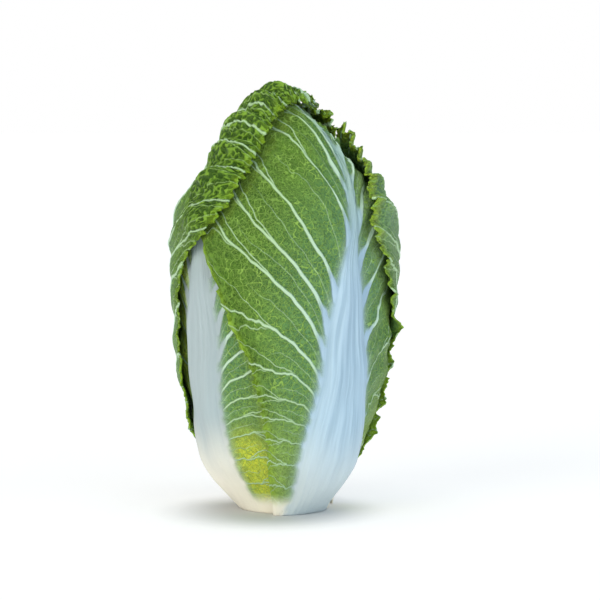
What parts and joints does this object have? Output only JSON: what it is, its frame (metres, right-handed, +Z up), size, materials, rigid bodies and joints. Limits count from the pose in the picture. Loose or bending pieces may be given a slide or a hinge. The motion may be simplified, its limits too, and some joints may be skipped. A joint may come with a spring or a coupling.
{
  "type": "napa cabbage",
  "caption": "Whole napa cabbage head of overlapping crinkled leaves with broad white ribs, standing upright on its cut stem.",
  "frame": {"origin": "centre of the stem's flat cut, where the head stands", "axes": "+Z up along the head, from the cut stem to the leaf tips; -Y towards the front, where the big front leaf's rib lies a little to the right; +X to the right seen from the front"},
  "size_m": [0.1644, 0.1698, 0.3022],
  "materials": {
    "heart": "pale yellow-green closed inner head on a creamy white cut stem, matt and slightly moist",
    "inner_leaf": "pale yellow-green leaf with a white rib, soft sheen",
    "outer_leaf": "mid green crinkled leaf with raised pale veins and a broad bluish white rib, soft waxy sheen"
  },
  "bodies": {
    "root": {"heart": "heart", "inner_leaf_1": "inner_leaf", "inner_leaf_2": "inner_leaf", "inner_leaf_3": "inner_leaf", "inner_leaf_4": "inner_leaf", "inner_leaf_5": "inner_leaf", "outer_leaf_left": "outer_leaf", "outer_leaf_back": "outer_leaf", "outer_leaf_front": "outer_leaf", "outer_leaf_right": "outer_leaf", "outer_leaf_wrapping": "outer_leaf"}
  },
  "joints": []
}
